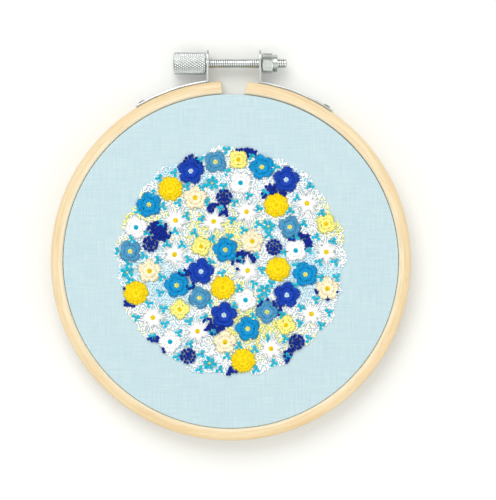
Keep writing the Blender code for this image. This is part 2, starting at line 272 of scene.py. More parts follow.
# Waves over the ground, a row for each: radians for each mm of x and of y, and where it starts
DRIFT_WAVES = ((0.16, 0.0, 1.3), (0.0, 0.19, -0.7), (0.11, 0.11, 2.2))
DEEP_WAVES = ((0.31, 0.17, 0.4), (-0.12, 0.37, 1.9))
DRIFT_BLUR = (-0.9, 0.9)
DEEP_FROM = 1.35
DRIFT_FROM = ((1.7, "lemon"), (0.85, "ivory"), (-1.35, "white"))

# Thread. A knot's coil and its thread's radius are given for a knot of size 1
LEAF_LOOP_RADIUS = 0.1875 * MM
LEAF_VEIN_RADIUS = 0.18 * MM
SEED_THREAD_RADIUS = 0.21 * MM
BACK_THREAD_RADIUS = 0.195 * MM
BACK_DEPTH = CLOTH_THICKNESS + 0.15 * MM
BACK_SHARE = 0.85
BACKS_PER_MM = 5
BACK_SWING = (1.9, 4.0)
BACK_SAG = (0.1 * MM, 0.5 * MM)
BACK_RUN = 24 * MM
BACK_RUN_SAG = 0.7 * MM
THREAD_TWIST = 1.1 * MM
THREAD_POINTS = 7
THREAD_SIDES = 6
THREAD_DRAW = 0.4
KNOT_SIDES = 5
KNOT_COIL = {"Resolution": 7, "Rotations": 1.7, "Start Radius": 0.3, "End Radius": 0.13, "Height": 0.34}
KNOT_THREAD = 0.2
FLOSS = {
    "white": "fdfdfb",
    "cream": "faeaca",
    "ivory": "fbf6cc",
    "lemon": "f6ec86",
    "gold": "f6d600",
    "navy": "062a94",
    "cobalt": "0a3fae",
    "cerulean": "0092cc",
    "turquoise": "00bcd6",
    "steel": "4c97c0",
    "sky": "d0e9f8",
}

# The photograph's framing, in its own 496 x 500 pixels
FRAME_WIDTH, FRAME_HEIGHT = 496, 500
HOOP_SPAN_PIXELS = 360.2
HOOP_MIDDLE_PIXEL = (230.8, 261.0)
CAMERA_DISTANCE = 0.75
CAMERA_TILT = math.radians(3.5)
SENSOR = 36.0

# How bright the studio is at each height of the sky, from the horizon to straight above
SKY_GLOW = ((0.0, 0.45), (0.15, 0.12), (0.4, 0.55), (0.58, 0.9))
SKY_GLOW += ((0.7, 0.6), (0.82, 1.2), (0.93, 1.0), (1.0, 0.6))

# The lamps' places and powers, all aimed at the middle
LAMP_SIZE = 0.9
LAMPS = {
    "key": ((-0.25, 0.75, 0.95), 8.0),
    "fill": ((0.8, -0.5, 0.6), 2.2),
    "side": ((-0.8, -0.45, 0.6), 1.6),
}
FLOOR_HALF = 1.5

scene = bpy.context.scene
chance = random.Random(7)
between = chance.uniform


def term(operation):
    """A Line's method that adds one Math node, with the Line as its first term."""
    return lambda self, *others: self.nodes.maths(operation, self, *others)


def last_term(operation):
    """The same with the Line as the last term, as in 1 - line."""
    return lambda self, other: self.nodes.maths(operation, other, self)


class Line:
    """A socket that takes part in sums: each operator adds its Math node."""

    def __init__(self, nodes, socket):
        self.nodes = nodes
        self.socket = socket

    __add__ = term("ADD")
    __radd__ = last_term("ADD")
    __sub__ = term("SUBTRACT")
    __rsub__ = last_term("SUBTRACT")
    __mul__ = term("MULTIPLY")
    __rmul__ = last_term("MULTIPLY")
    __truediv__ = term("DIVIDE")
    __pow__ = term("POWER")
    __abs__ = term("ABSOLUTE")
    sine = term("SINE")
    cosine = term("COSINE")
    angle_to = term("ARCTAN2")
    floor = term("FLOOR")
    above = term("GREATER_THAN")
    below = term("LESS_THAN")
    least = term("MINIMUM")
    most = term("MAXIMUM")
    part = term("FRACT")

    def __neg__(self):
        return self * -1.0

    def held(self):
        """The same, kept between 0 and 1."""
        return self.least(1.0).most(0.0)

    def peak(self):
        """A wave of straight sides, 0 at whole numbers and 1 halfway between."""
        return 1 - abs(self.part() * 2 - 1)

    def other(self, name):
        """Another output of the same node."""
        return Line(self.nodes, self.socket.node.outputs[name])


class Nodes:
    """A node tree. Every node comes from add: its kind, its settings, then its sockets."""

    def __init__(self, tree):
        self.tree = tree

    def add(self, kind, settings=None, inputs=None, output=0):
        node = self.tree.nodes.new(kind)
        for name, value in (settings or {}).items():
            setattr(node, name, value)
        for name, value in (inputs or {}).items():
            self.feed(node.inputs[name], value)
        return Line(self, node.outputs[output])

    def maths(self, operation, *terms):
        return self.add("ShaderNodeMath", {"operation": operation}, dict(enumerate(terms)))

    def feed(self, socket, value):
        if isinstance(value, Line):
            self.tree.links.new(value.socket, socket)
        else:
            socket.default_value = value

    def xyz(self, vector):
        """The three parts of a vector."""
        parts = self.add("ShaderNodeSeparateXYZ", inputs={0: vector})
        return parts, parts.other("Y"), parts.other("Z")

    def vector(self, x, y, z):
        return self.add("ShaderNodeCombineXYZ", inputs={0: x, 1: y, 2: z})


class Finish(Nodes):
    """A material on one Principled shader."""

    def __init__(self, name, **constants):
        self.material = bpy.data.materials.new(name)
        self.material.use_nodes = True
        super().__init__(self.material.node_tree)
        self.shader = self.tree.nodes["Principled BSDF"]
        for label, value in constants.items():
            self.shader.inputs[label.replace("_", " ")].default_value = value

    def mix(self, share, first, second):
        """Two colours mixed."""
        settings = {"data_type": "RGBA"}
        return self.add("ShaderNodeMix", settings, {0: share, 6: first, 7: second}, 2)

    def noise(self, place, scale, detail=2.0):
        return self.add(
            "ShaderNodeTexNoise", inputs={"Vector": place, "Scale": scale, "Detail": detail}
        )

    def where(self):
        """The place on the object, in metres."""
        return self.add("ShaderNodeTexCoord", output=3)

    def own(self, name, output="Fac"):
        """The piece's own value of that name."""
        return self.add("ShaderNodeAttribute", {"attribute_name": name}, output=output)

    def paint(self, colour):
        self.feed(self.shader.inputs["Base Color"], colour)

    def rough(self, value):
        self.feed(self.shader.inputs["Roughness"], value)

    def bump(self, height, distance, strength=1.0):
        inputs = {"Height": height, "Distance": distance, "Strength": strength}
        self.feed(self.shader.inputs["Normal"], self.add("ShaderNodeBump", inputs=inputs))


class Pattern(Nodes):
    """A Geometry Nodes tree with named inputs, which leaves one plain mesh."""

    def __init__(self, name, **inputs):
        super().__init__(bpy.data.node_groups.new(name, "GeometryNodeTree"))
        face = self.tree.interface
        face.new_socket("Geometry", in_out="INPUT", socket_type="NodeSocketGeometry")
        self.keys = {}
        for label, kind in {**inputs, "Finish": "Material"}.items():
            socket = face.new_socket(label, in_out="INPUT", socket_type="NodeSocket" + kind)
            self.keys[label] = socket.identifier
        face.new_socket("Geometry", in_out="OUTPUT", socket_type="NodeSocketGeometry")
        self.inlet = self.tree.nodes.new("NodeGroupInput")
        self.outlet = self.tree.nodes.new("NodeGroupOutput")

    def given(self, label):
        return Line(self, self.inlet.outputs[label])

    def position(self):
        return self.xyz(self.add("GeometryNodeInputPosition"))

    def named(self, name):
        """A value that the source mesh holds."""
        settings = {"data_type": "FLOAT"}
        return self.add("GeometryNodeInputNamedAttribute", settings, {"Name": name})

    def store(self, geometry, name, value):
        settings = {"data_type": "FLOAT", "domain": "POINT"}
        inputs = {"Geometry": geometry, "Name": name, "Value": value}
        return self.add("GeometryNodeStoreNamedAttribute", settings, inputs)

    def shift(self, geometry, offset):
        inputs = {"Geometry": geometry, "Offset": offset}
        return self.add("GeometryNodeSetPosition", inputs=inputs)

    def place(self, geometry, offset, rotation=(0, 0, 0)):
        inputs = {"Geometry": geometry, "Translation": offset, "Rotation": rotation}
        return self.add("GeometryNodeTransform", inputs=inputs)

    def sweep(self, curve, section, scale=1.0):
        """A section run along a curve, closed at its ends."""
        inputs = {"Curve": curve, "Profile Curve": section, "Scale": scale, "Fill Caps": True}
        return self.add("GeometryNodeCurveToMesh", inputs=inputs)

    def end(self, geometry):
        real = self.add("GeometryNodeRealizeInstances", inputs={"Geometry": geometry})
        inputs = {"Geometry": real, "Material": self.given("Finish")}
        done = self.add("GeometryNodeSetMaterial", inputs=inputs)
        self.feed(self.outlet.inputs[0], done)
        return self

    def make(self, name, source=None, **values):
        """Runs the tree on a source mesh, and keeps the result as a plain mesh."""
        made = put(name, source or bpy.data.meshes.new(name))
        modifier = made.modifiers.new(self.tree.name, "NODES")
        modifier.node_group = self.tree
        for label, value in values.items():
            modifier[self.keys[label]] = value
        return settled(made)


def put(name, data):
    """A new object of the mesh, lamp or camera, in the scene."""
    made = bpy.data.objects.new(name, data)
    scene.collection.objects.link(made)
    return made


def settled(made):
    """The object with its modifiers turned into plain mesh."""
    made.update_tag()
    graph = bpy.context.evaluated_depsgraph_get()
    mesh = bpy.data.meshes.new_from_object(
        made.evaluated_get(graph), preserve_all_data_layers=True, depsgraph=graph
    )
    made.modifiers.clear()
    made.data = mesh
    mesh.name = made.name
    return made


def smooth(made, degrees=35):
    """Shaded smooth, but for edges sharper than so many degrees."""
    made.data.shade_smooth()
    made.data.set_sharp_from_angle(angle=math.radians(degrees))


def soften(made, width, degrees):
    """Edges sharper than so many degrees rounded off, after any other modifier."""
    bevel = made.modifiers.new("soft_edges", "BEVEL")
    bevel.width = width
    bevel.segments = BEVEL_STEPS
    bevel.limit_method = "ANGLE"
    bevel.angle_limit = math.radians(degrees)
    settled(made)


def light(hex6):
    """A colour of linear light from its usual six figures."""
    parts = [int(hex6[i : i + 2], 16) / 255 for i in (0, 2, 4)]
    linear = [p / 12.92 if p <= 0.04045 else ((p + 0.055) / 1.055) ** 2.4 for p in parts]
    return (*linear, 1.0)


# Finishes


def bamboo_finish():
    """Pale bamboo: fibres that run round the ring, light and tan bands, fine dark flecks, and painted
    light across the face: a painted highlight toward the inner edge and painted shade toward the outer
    edge.
    """
    f = Finish("bamboo", Specular_IOR_Level=0.35)
    x, y, z = f.xyz(f.where())
    y = y - HOOP_MIDDLE.y
    out = (x * x + y * y) ** 0.5
    around = x.angle_to(-y) * RING_MIDDLE

    def grain(along, across, detail):
        """Noise with so many grains a metre round the ring, and across it."""
        return f.noise(f.vector(around * along, out * across, z * across), 1.0, detail)

    fibre = grain(110, 3000, 3.0)
    band = grain(22, 1100, 2.0)
    drift = grain(60, 60, 2.0)
    flecks = ((grain(240, 4200, 1.0) - 0.69) * 12).held()
    outward = ((out - (RING_MIDDLE - RING_WALL / 2)) / RING_WALL).held()
    # The light and tan bands are real grain. Mixed in by outward, the face also goes paler inside and
    # tanner outside, which is painted shade of the rounded outer edge.
    colour = f.mix(((band - 0.5) * 3 + outward).held(), light("e6d7b5"), light("dfc89d"))
    tints = (
        (((fibre - 0.45) * 4).held() * 0.6, "cdb07d"),
        (((drift - 0.5) * 3).held() * 0.3, "e0b882"),
        (flecks * 0.5, "a67e4a"),
        # Painted highlight: the innermost band is paler, as light catches the rounded inner edge.
        (((0.3 - outward) * 3).held() * 0.5, "f0e8d4"),
        # Painted shade: the outermost band is darker, where the rounded outer edge turns away from the
        # light.
        (((outward - 0.7) * 3).held() * 0.25, "b4a07c"),
    )
    for share, tint in tints:
        colour = f.mix(share, colour, light(tint))
    f.paint(colour)
    f.rough(0.42 + fibre * 0.2)
    f.bump(fibre + band * 0.6 - flecks * 0.4, 0.06 * MM, 0.55)
    return f.material


def cotton_finish():
    """Pale blue plain weave, with slubs and threads of uneven strength, and painted shade between its
    threads.
    """
    f = Finish("cotton", Sheen_Weight=0.2, Sheen_Roughness=0.5, Specular_IOR_Level=0.2)
    place = f.own("cut_place", "Vector")
    x, y, _ = f.xyz(place)
    wander = (f.noise(place, 170.0) - 0.5) * 1.6
    across, up = x / WEAVE_PITCH + wander, y / WEAVE_PITCH - wander
    warp_over = (math.pi * (up + across.floor())).cosine()
    weft_over = -(math.pi * (across + up.floor())).cosine()
    warp = across.peak() ** 0.5 * (0.62 + warp_over * 0.38)
    weft = up.peak() ** 0.5 * (0.62 + weft_over * 0.38)
    weave = warp.most(weft)
    warp_slub = f.noise(f.vector(x * 2300, y * 130, 0.0), 1.0, 2.0)
    weft_slub = f.noise(f.vector(x * 130, y * 2300, 4.0), 1.0, 2.0)
    slub = warp_slub + weft_slub
    cloud = f.noise(place, 90.0, 3.0)
    colour = f.mix(((slub - 0.72) * 1.8).held(), light("b3cacf"), light("c1d5d8"))
    colour = f.mix(((cloud - 0.35) * 2).held() * 0.35, colour, light("b6ced3"))
    # Painted shade: darker where the weave dips between its threads.
    colour = f.mix((1 - weave) * 0.14, colour, light("9cbac5"))
    f.paint(colour)
    f.rough(0.92 - weave * 0.12)
    f.bump(weave + slub * 1.4, 0.05 * MM, 0.4)
    return f.material


def floss_finish(name, hex6):
    """Stranded cotton thread: a soft sheen, a twist along it with painted shade in its grooves, tones
    that differ by stitch.
    """
    f = Finish("floss_" + name, Specular_IOR_Level=0.18)
    side, rise, along, tone = (f.own(label) for label in ("side", "rise", "along", "tone"))
    angle = rise.angle_to(side)
    strands = (angle * 3 + along * (TURN / THREAD_TWIST)).sine() * 0.5 + 0.5
    base = light(hex6)
    deep = tuple(c * 0.8 for c in base[:3]) + (1.0,)
    pale = tuple(min(1, c * 1.12 + 0.004) for c in base[:3]) + (1.0,)
    colour = f.mix((tone * 0.4 + 0.7).held(), deep, pale)
    # Painted shade: darker in the grooves between the twisted strands.
    colour = f.mix((1 - strands) * 0.2, colour, deep)
    f.paint(colour)
    f.rough(0.62 - strands * 0.14)
    f.bump(strands, 0.05 * MM, 0.7)
    return f.material


def nickel_finish(name, bright, dull, rough=0.1):
    """Nickel plate, a little worn and cloudy, with painted shade in its grooves."""
    f = Finish(name, Metallic=1.0)
    where = f.where()
    cloud = f.noise(where, 420.0, 3.0)
    scratch = f.noise(
        f.add("ShaderNodeMapping", inputs={"Vector": where, "Scale": (600, 5200, 5200)}), 1.0, 2.0
    )
    groove = f.own("groove")
    colour = f.mix(((cloud - 0.4) * 2.5).held(), light(bright), light(dull))
    # Painted shade: darker down in the grooves of the thread and the knurl.
    f.paint(f.mix(groove * 0.6, colour, light("757a78")))
    f.rough(rough + cloud * 0.12 + groove * 0.2)
    f.bump(scratch, 0.012 * MM, 0.35)
    return f.material


# Bamboo rings


def bent_strip_pattern():
    """A rounded strip bent to a ring, closed or with two ends, the last one cut aslant."""
    names = ("Radius", "Wall", "Depth", "InnerEdge", "OuterEdge")
    names += ("Height", "Start", "Sweep", "Slant", "SlantReach")
    p = Pattern("bent_strip", Steps="Int", Closed="Bool", **dict.fromkeys(names, "Float"))
    radius, wall, depth, inner_edge, outer_edge = map(p.given, names[:5])
    height, start, sweep, slant, slant_reach = map(p.given, names[5:])
    inputs = {"Resolution": p.given("Steps"), "Start Angle": start, "Sweep Angle": sweep}
    arc = p.add("GeometryNodeCurveArc", {"mode": "RADIUS"}, {"Radius": radius, **inputs})
    inputs = {"Geometry": arc, "Cyclic": p.given("Closed")}
    arc = p.add("GeometryNodeSetSplineCyclic", inputs=inputs)
    arc = p.add("GeometryNodeSetCurveNormal", {"mode": "Z_UP"}, {"Curve": arc})
    share = p.add("GeometryNodeSplineParameter")
    to_end = (1 - share) * radius * sweep
    arc = p.store(arc, "near_end", (1 - to_end / slant_reach).held())
    inputs = {"Width": wall, "Height": depth}
    section = p.add("GeometryNodeCurvePrimitiveQuadrilateral", inputs=inputs)
    outer_side = p.position()[0].below(0.0)
    edge = inner_edge + (outer_edge - inner_edge) * outer_side
    inputs = {"Curve": section, "Radius": edge, "Count": EDGE_STEPS}
    section = p.add("GeometryNodeFilletCurve", {"mode": "POLY"}, inputs)
    ring = p.sweep(arc, section)
    x, y, _ = p.position()
    out = (x * x + y * y) ** 0.5
    push = slant * (out - radius) / wall * 2 * p.named("near_end")
    ring = p.shift(ring, p.vector(y / out * push, -x / out * push, 0.0))
    return p.end(p.place(ring, p.vector(HOOP_MIDDLE.x, HOOP_MIDDLE.y, height)))


def make_rings(bamboo):
    pattern = bent_strip_pattern()
    start = TURN / 4 - math.asin(GAP_LEFT_X / RING_MIDDLE)
    stop = TURN * 5 / 4 - math.asin(GAP_RIGHT_X / RING_MIDDLE)
    common = {
        "Steps": RING_STEPS,
        "Wall": RING_WALL,
        "InnerEdge": RING_INNER_EDGE,
        "OuterEdge": RING_OUTER_EDGE,
        "SlantReach": SLANT_REACH,
        "Finish": bamboo,
    }
    outer = pattern.make(
        "outer_ring_bamboo",
        Closed=False,
        Radius=RING_MIDDLE,
        Depth=RING_DEPTH,
        Start=start,
        Sweep=stop - start,
        Slant=GAP_SLANT,
        Height=RING_DEPTH / 2,
        **common,
    )
    inner = pattern.make(
        "inner_ring_bamboo",
        Closed=True,
        Radius=INNER_RADIUS - RING_WALL / 2,
        Depth=INNER_DEPTH,
        Start=0.0,
        Sweep=TURN * (1 - 1 / RING_STEPS),
        Slant=0.0,
        Height=INNER_DEPTH / 2,
        **common,
    )
    soften(outer, END_BEVEL, degrees=60)
    for made, node in ((outer, "outer_ring"), (inner, "inner_ring")):
        smooth(made, degrees=40)
        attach(made, "root")
        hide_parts(node)


# Cloth


def cloth_rows():
    """(distance out, height, length along the cloth) from the middle to the trimmed edge."""
    flat = CLOTH_RADIUS - CLOTH_SHOULDER
    rows = []
    for i in range(1, CLOTH_OUT + 1):
        out = flat * i / CLOTH_OUT
        rows.append((out, CLOTH_TOP, out))
    for i in range(1, CLOTH_BEND_STEPS + 1):
        bend = TURN / 4 * i / CLOTH_BEND_STEPS
        out = flat + CLOTH_SHOULDER * math.sin(bend)
        height = CLOTH_TOP - CLOTH_SHOULDER * (1 - math.cos(bend))
        rows.append((out, height, flat + CLOTH_SHOULDER * bend))
    along = flat + CLOTH_SHOULDER * TURN / 4
    side = CLOTH_TOP - CLOTH_SHOULDER - CLOTH_TRIM
    for i in range(1, CLOTH_SIDE_STEPS + 1):
        drop = side * i / CLOTH_SIDE_STEPS
        rows.append((CLOTH_RADIUS, CLOTH_TOP - CLOTH_SHOULDER - drop, along + drop))
    return rows


def swell(turn):
    """How far the cloth fills its gap to the outer ring, which is looser near the screw."""
    from_loose = (TURN / 4 - turn - RING_LOOSE_AT + TURN / 2) % TURN - TURN / 2
    return CLOTH_SWELL * (1 - math.exp(-((from_loose / RING_LOOSE_REACH) ** 2)))


def pucker(out, turn):
    """The slight draw of the cloth round the stitched field."""
    wave = sum(math.cos(count * turn + start) for count, start in PUCKER_WAVES)
    reach = (out - FIELD_RADIUS) / PUCKER_REACH
    return PUCKER * wave / len(PUCKER_WAVES) * math.exp(-reach * reach)


def make_cloth(cotton):
    """One sheet over the inner ring, its side turned down between the rings."""
    rows = cloth_rows()
    vertices = [(0.0, 0.0, CLOTH_TOP)]
    cut = [(0.0, 0.0, 0.0)]
    trim_row = len(rows) - 1
    for n, (out, height, along) in enumerate(rows):
        for i in range(CLOTH_AROUND):
            turn = TURN * i / CLOTH_AROUND
            z = height + pucker(out, turn)
            out_here = out + swell(turn) * (out / CLOTH_RADIUS) ** CLOTH_SWELL_POWER
            if n == trim_row:
                z += CLOTH_TRIM_RAGGED * math.sin(7 * turn) * math.sin(23 * turn + 1)
            vertices.append((out_here * math.cos(turn), out_here * math.sin(turn), z))
            cut.append((along * math.cos(turn), along * math.sin(turn), 0.0))
    faces = [(0, 1 + i, 1 + (i + 1) % CLOTH_AROUND) for i in range(CLOTH_AROUND)]
    for n in range(trim_row):
        here, there = 1 + n * CLOTH_AROUND, 1 + (n + 1) * CLOTH_AROUND
        for i in range(CLOTH_AROUND):
            after = (i + 1) % CLOTH_AROUND
            faces.append((here + i, there + i, there + after, here + after))
    mesh = bpy.data.meshes.new("cotton_cloth")
    mesh.from_pydata([Vector(v) + HOOP_MIDDLE for v in vertices], [], faces)
    place = mesh.attributes.new("cut_place", "FLOAT_VECTOR", "POINT")
    place.data.foreach_set("vector", np.array(cut, np.float32).ravel())
    mesh.materials.append(cotton)
    made = put("cotton_cloth", mesh)
    wall = made.modifiers.new("thickness", "SOLIDIFY")
    wall.thickness = CLOTH_THICKNESS
    wall.offset = -1.0
    smooth(settled(made), degrees=50)
    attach(made, "root")
    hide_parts("cloth")
    return made, rows[-1][2]


# Stitches


class Basket:
    """Stitches and knots of one thread colour, before they become meshes."""

    def __init__(self):
        self.points, self.lines, self.lift, self.thick, self.tone = [], [], [], [], []
        self.knots, self.size, self.spin, self.knot_tone = [], [], [], []

    def stitch(self, path, lift, thick, tone=None):
        """A thread through the points of the path, lifted in its middle."""
        tone = between(-1, 1) if tone is None else tone
        first = len(self.points)
        self.points += [tuple(p) for p in path]
        count = len(path)
        self.lines += [(first + i, first + i + 1) for i in range(count - 1)]
        self.lift += [lift] * count
        self.thick += [thick] * count
        self.tone += [tone] * count

    def knot(self, place, size, tone=None):
        self.knots.append(tuple(place))
        self.size.append(size * between(*KNOT_GROWTH))
        self.spin.append(between(0, TURN))
        self.knot_tone.append(between(-1, 1) if tone is None else tone)

    def stitch_mesh(self):
        values = {"lift": self.lift, "thick": self.thick, "tone": self.tone}
        return with_values("stitch_lines", self.points, self.lines, values)

    def knot_mesh(self):
        values = {"size": self.size, "spin": self.spin, "tone": self.knot_tone}
        return with_values("knot_places", self.knots, [], values)


def with_values(name, points, lines, values):
    """A mesh of points and lines that holds a number of each name for each point."""
    mesh = bpy.data.meshes.new(name)
    mesh.from_pydata([Vector(p) + HOOP_MIDDLE for p in points], lines, [])
    for label, numbers in values.items():
        mesh.attributes.new(label, "FLOAT", "POINT").data.foreach_set("value", numbers)
    return mesh


def thread_section(p):
    """The round section of a thread, each point with its side and rise about the middle."""
    inputs = {"Resolution": p.given("Sides"), "Radius": 1.0}
    section = p.add("GeometryNodeCurvePrimitiveCircle", {"mode": "RADIUS"}, inputs)
    share = p.add("GeometryNodeSplineParameter")
    section = p.store(section, "side", (share * TURN).cosine())
    return p.store(section, "rise", (share * TURN).sine())


def stitch_pattern():
    """Threads along the source's lines, each lifted in its middle and drawn in at its ends."""
    p = Pattern("stitches", Points="Int", Sides="Int", Draw="Float")
    curve = p.add("GeometryNodeMeshToCurve", inputs={"Mesh": p.given("Geometry")})
    curve = p.add(
        "GeometryNodeResampleCurve", inputs={"Curve": curve, "Count": p.given("Points")}
    )
    share = p.add("GeometryNodeSplineParameter")
    arch = share * (1 - share) * 4
    curve = p.store(curve, "along", share.other("Length"))
    curve = p.shift(curve, p.vector(0.0, 0.0, arch * p.named("lift")))
    thick = p.named("thick") * (1 - p.given("Draw") * (1 - arch) ** 3)
    return p.end(p.sweep(curve, thread_section(p), thick))


def knot_pattern():
    """Small coiled knots on the source's points."""
    p = Pattern("knots", Sides="Int")
    coil = p.add("GeometryNodeCurveSpiral", inputs=KNOT_COIL)
    coil = p.store(coil, "along", p.add("GeometryNodeSplineParameter").other("Length") * MM)
    coil = p.sweep(coil, thread_section(p), KNOT_THREAD)
    spin = p.add(
        "FunctionNodeEulerToRotation", inputs={0: p.vector(0.0, 0.0, p.named("spin"))}
    )
    inputs = {"Points": p.given("Geometry"), "Instance": coil, "Rotation": spin}
    inputs["Scale"] = p.named("size")
    return p.end(p.add("GeometryNodeInstanceOnPoints", inputs=inputs))


def sunflower_places():
    """Each motif's name, place and turn: a sunflower spiral, then pushed apart and kept in the field
    for a set number of rounds.
    """
    names = [MOTIF_ORDER[n % len(MOTIF_ORDER)] for n in range(MOTIF_COUNT)]
    reaches = [MOTIFS[name].reach * MM for name in names]
    pitch = FIELD_RADIUS / math.sqrt(MOTIF_COUNT)
    spots = [
        pitch * math.sqrt(n + 0.5) * Vector((math.cos(n * GOLDEN_ANGLE), math.sin(n * GOLDEN_ANGLE)))
        for n in range(MOTIF_COUNT)
    ]
    for _ in range(PACKING_ROUNDS):
        for i in range(MOTIF_COUNT):
            for j in range(i):
                apart = spots[i] - spots[j]
                lack = reaches[i] + reaches[j] + MOTIF_GAP - apart.length
                if lack > 0:
                    push = apart.normalized() * lack / 2
                    spots[i] += push
                    spots[j] -= push
        for i, reach in enumerate(reaches):
            limit = FIELD_RADIUS - FIELD_SLOPE - reach
            if spots[i].length > limit:
                spots[i] = spots[i].normalized() * limit
    return [(name, spots[n], n * GOLDEN_ANGLE) for n, name in enumerate(names)]


def outline(motif, angle):
    """How far a motif reaches at an angle from its turn: pointed petals if its waist is narrow."""
    phase = angle * motif.petals / TURN % 1
    if motif.waist < POINTED_WAIST:
        bulge = 1 - abs(2 * phase - 1)
    else:
        bulge = math.sqrt(math.sin(math.pi * phase))
    return motif.reach * MM * (motif.waist + (1 - motif.waist) * bulge)


def at(spot, angle, out, height):
    """A point at an angle and distance from the spot, at a height above the cloth."""
    x = spot.x + out * math.cos(angle)
    y = spot.y + out * math.sin(angle)
    return Vector((x, y, CLOTH_TOP + height))


def radial_tier(basket, motif, spot, turn, tier):
    """A ring of stitches from a share of the reach to a share of the outline."""
    count = round(motif.reach * tier.per_mm)
    for i in range(count):
        angle = TURN * (i + 0.5) / count + between(*STITCH_SWAY)
        far = outline(motif, angle) * tier.outer * between(*STITCH_REACH)
        near = min(tier.inner * motif.reach * MM, far * START_LIMIT)
        start = at(spot, turn + angle, near, tier.high * MM)
        stop = at(spot, turn + angle, far, tier.low * MM)
        lift = tier.lift * MM * between(*STITCH_LIFT)
        basket.stitch([start, stop], lift, tier.thick * MM)


def knot_cluster(basket, spot, turn, heart):
    """A middle knot and rings of six, twelve and so on about it."""
    height, size = heart.height * MM, heart.size * MM
    basket.knot(at(spot, 0, 0, height), size)
    for ring in range(1, heart.rings + 1):
        for i in range(6 * ring):
            angle = turn + TURN * i / (6 * ring) + between(*KNOT_SWAY)
            lower = height * (1 - HEART_FALL * ring / (heart.rings + 1))
            basket.knot(at(spot, angle, heart.spacing * MM * ring, lower), size)


def leaf(basket, spot, turn, kind):
    """A looped leaf stitch with a thread laid down its middle."""
    sideways = Vector((-math.sin(turn), math.cos(turn), 0))
    loop = []
    for i in range(LEAF_POINTS):
        share = i / (LEAF_POINTS - 1)
        out = kind.start + kind.length * math.sin(math.pi * share) ** LEAF_ROUNDNESS
        swing = kind.width * math.sin(TURN * share) / 2
        loop.append(at(spot, turn, out * MM, LEAF_HEIGHT) + swing * MM * sideways)
    basket.stitch(loop, LEAF_LOOP_LIFT, LEAF_LOOP_RADIUS)
    ends = (kind.start, kind.start + kind.length * LEAF_VEIN_SHARE)
    vein = [at(spot, turn, end * MM, LEAF_HEIGHT) for end in ends]
    basket.stitch(vein, LEAF_VEIN_LIFT, LEAF_VEIN_RADIUS)


def make_motif(baskets, motif, spot, turn):
    """A motif's leaves or its rings of stitches, then its heart of knots."""
    basket = baskets[motif.colour]
    if motif.form == "sprig":
        count = motif.petals * 2
        for i in range(count):
            leaf(basket, spot, turn + TURN * (i + 0.5) / count, SPRIG_LEAVES[i % 2])
    for tier in TIERS.get(motif.form, ()):
        radial_tier(basket, motif, spot, turn, tier)
    knot_cluster(baskets[motif.heart], spot, turn, HEARTS[motif.form])


def room_at(spot, places):
    """How far a spot is from the nearest motif's outline; negative inside one."""
    room = NEAR_MOTIF
    for name, middle, turn in places:
        apart = spot - middle
        if apart.length > NEAR_MOTIF:
            continue
        angle = math.atan2(apart.y, apart.x) - turn
        room = min(room, apart.length - outline(MOTIFS[name], angle))
    return room


def waves_at(spot, waves):
    return sum(math.sin(spot.x / MM * a + spot.y / MM * b + start) for a, b, start in waves)


def ground_colour(spot):
    """The colour of the ground's stitches, in drifts of lemon, ivory, white, sky and navy."""
    drift = waves_at(spot, DRIFT_WAVES) + between(*DRIFT_BLUR)
    if waves_at(spot, DEEP_WAVES) > DEEP_FROM:
        return "navy"
    for least, colour in DRIFT_FROM:
        if drift > least:
            return colour
    return "sky"


def seed(baskets, spot):
    """One knot or one short stitch of the ground, in the colour of its place."""
    colour = ground_colour(spot)
    if colour == "navy":
        baskets[colour].knot(at(spot, 0, 0, BERRY_HEIGHT), BERRY_SIZE)
    elif chance.random() < SEED_KNOT_SHARE:
        place = at(spot, 0, 0, SEED_KNOT_HEIGHT)
        baskets[colour].knot(place, SEED_KNOT_SIZE, between(0, 1))
    else:
        angle = between(0, TURN)
        half = between(*SEED_HALF)
        path = [at(spot, angle, out, SEED_HEIGHT) for out in (half, -half)]
        baskets[colour].stitch(path, SEED_LIFT, SEED_THREAD_RADIUS, between(0, 1))


def ground(baskets, places):
    """Seeds and small sprays of leaves wherever the motifs leave cloth bare."""
    steps = int(FIELD_RADIUS / SEED_PITCH * SEED_SPARE)
    sprays = []
    for row in range(-steps, steps + 1):
        for column in range(-steps, steps + 1):
            x = (column + 0.5 * (row % 2)) * SEED_PITCH + between(-1, 1) * SEED_JITTER
            y = row * SEED_PITCH * SEED_ROW + between(-1, 1) * SEED_JITTER
            spot = Vector((x, y))
            turn = math.atan2(y, x)
            waves = (high * math.sin(count * turn + start) for high, count, start in EDGE_WAVES)
            edge = FIELD_RADIUS + sum(waves)
            if spot.length > edge - SEED_MARGIN:
                continue
            room = room_at(spot, places)
            if room < SEED_ROOM:
                continue
            apart = min(((spot - other).length for other in sprays), default=1.0)
            if room > SPRAY_ROOM and apart > SPRAY_APART and spot.length < edge - SPRAY_MARGIN:
                sprays.append(spot)
                for side in SPRAY_TURNS:
                    leaf(baskets["turquoise"], spot, turn + side, SPRAY_LEAF)
            elif apart >= SPRAY_CLEAR:
                seed(baskets, spot)


def backs(baskets, places):
    """The threads' backs: short crossings behind each motif, and runs to the next of its colour."""
    last = {}
    for name, spot, _ in places:
        motif = MOTIFS[name]
        basket = baskets[motif.colour]
        reach = motif.reach * MM * BACK_SHARE
        for _ in range(int(motif.reach * BACKS_PER_MM)):
            angle = between(0, TURN)
            swing = angle + between(*BACK_SWING)
            start = at(spot, angle, reach * between(0.5, 1), -BACK_DEPTH)
            end = at(spot, swing, reach * between(0.4, 1), -BACK_DEPTH)
            basket.stitch([start, end], -between(*BACK_SAG), BACK_THREAD_RADIUS)
        before = last.get(motif.colour)
        if before is not None and (before - spot).length < BACK_RUN:
            path = [at(place, 0, 0, -BACK_DEPTH) for place in (before, spot)]
            basket.stitch(path, -BACK_RUN_SAG, BACK_THREAD_RADIUS)
        last[motif.colour] = spot


